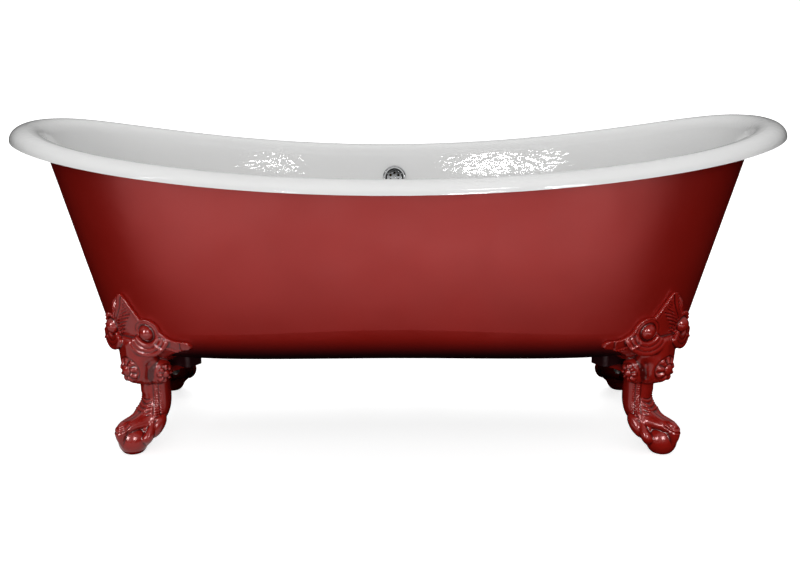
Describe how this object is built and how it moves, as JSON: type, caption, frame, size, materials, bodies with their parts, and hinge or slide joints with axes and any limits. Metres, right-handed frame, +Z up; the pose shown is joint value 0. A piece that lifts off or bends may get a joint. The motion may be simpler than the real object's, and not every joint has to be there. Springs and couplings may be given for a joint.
{
  "type": "freestanding bathtub",
  "caption": "Double-ended slipper bath with a rolled rim, red outside and white enamel inside, on ball-and-claw feet, with overflow, waste and a click plug.",
  "frame": {"origin": "on the floor, under the middle of the bath", "axes": "+X along the bath, -Y the front that the picture shows, +Z up"},
  "size_m": [1.83, 0.8, 0.769],
  "materials": {
    "red_paint": "satin red paint over cast iron",
    "white_enamel": "gloss vitreous enamel",
    "chrome": "polished",
    "brass": "plain machined",
    "rubber": "matt",
    "zinc_steel": "zinc plated"
  },
  "bodies": {
    "bath": {"enamel_lining": "white_enamel", "foot_front_left": "red_paint", "foot_front_right": "red_paint", "foot_nuts": "zinc_steel", "foot_rear_left": "red_paint", "foot_rear_right": "red_paint", "foot_studs": "zinc_steel", "foot_washers": "zinc_steel", "overflow_elbow": "brass", "overflow_inner_seal": "rubber", "overflow_outer_seal": "rubber", "overflow_pipe": "chrome", "overflow_pipe_nuts": "brass", "overflow_rose": "chrome", "overflow_screw": "chrome", "plug_cartridge": "brass", "tub_casting": "red_paint", "waste_flange": "chrome", "waste_flange_seal": "rubber", "waste_tee": "brass", "waste_under_seal": "rubber"},
    "plug": {"plug_cap": "chrome", "plug_seal": "rubber", "plug_stem": "brass"}
  },
  "joints": [
    {"name": "plug_lift", "type": "slide", "parent": "bath", "child": "plug", "axis": [0, 0, 1], "range_m": [0, 0.01]}
  ]
}
